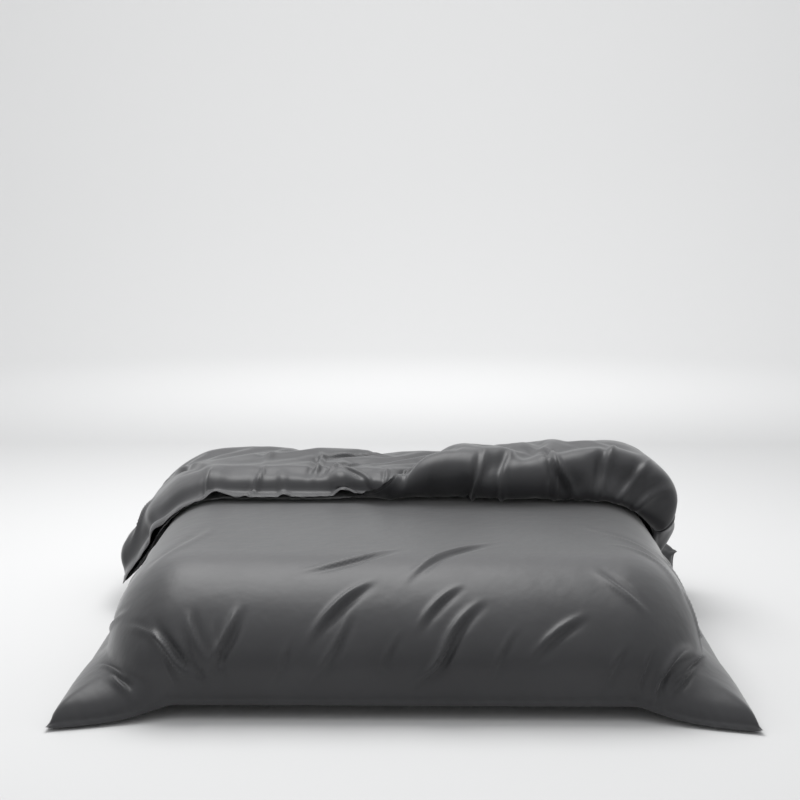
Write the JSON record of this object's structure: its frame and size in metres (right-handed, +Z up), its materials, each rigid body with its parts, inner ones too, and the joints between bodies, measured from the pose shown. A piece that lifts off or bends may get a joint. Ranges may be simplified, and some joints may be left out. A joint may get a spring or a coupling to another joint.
{
  "type": "duvet with buttoned cover",
  "caption": "Charcoal sateen duvet draped over a low bed, its head end turned back and rolled at one side, with a buttoned opening along the free edge.",
  "frame": {"origin": "on the mattress's flat top under the duvet, on the bed's centre line, 0.80 m towards the head from the bed's foot face", "axes": "+X across the bed to the right as seen from the foot, +Y from the foot towards the head, +Z up"},
  "size_m": [1.9902, 1.6392, 0.567],
  "materials": {
    "cover_sateen": "charcoal cotton sateen with a soft sheen",
    "quilt_cambric": "white downproof cotton cambric, matt",
    "down_fill": "loose down filling",
    "button_resin": "dark grey resin, satin",
    "cotton_tape": "charcoal cotton tape, knotted",
    "label_tape": "white satin label tape, blank"
  },
  "bodies": {
    "lying": {"cover_back_lying": "cover_sateen", "cover_face_lying": "cover_sateen", "quilt_shell_lower_lying": "quilt_cambric", "quilt_fill_lying": "down_fill", "quilt_shell_upper_lying": "quilt_cambric", "quilt_loop_foot_left": "quilt_cambric", "quilt_loop_foot_right": "quilt_cambric", "corner_tie_foot_left": "cotton_tape", "corner_tie_foot_right": "cotton_tape", "care_label": "label_tape"},
    "turnback": {"cover_back_turnback": "cover_sateen", "cover_face_turnback": "cover_sateen", "quilt_shell_lower_turnback": "quilt_cambric", "quilt_fill_turnback": "down_fill", "quilt_shell_upper_turnback": "quilt_cambric", "opening_facing_back": "cover_sateen", "opening_facing_face": "cover_sateen", "button_01": "button_resin", "button_02": "button_resin", "button_03": "button_resin", "button_04": "button_resin", "button_05": "button_resin", "button_06": "button_resin", "button_07": "button_resin", "button_08": "button_resin", "button_09": "button_resin", "button_10": "button_resin", "button_11": "button_resin", "button_12": "button_resin", "quilt_loop_head_left": "quilt_cambric", "quilt_loop_head_right": "quilt_cambric", "corner_tie_head_left": "cotton_tape", "corner_tie_head_right": "cotton_tape"}
  },
  "joints": [
    {"name": "turnback_fold", "type": "hinge", "parent": "lying", "child": "turnback", "pos_m": [0, 0.457, 0.089], "axis": [-0.9903, 0.1387, 0], "range_deg": [0, 38]}
  ]
}
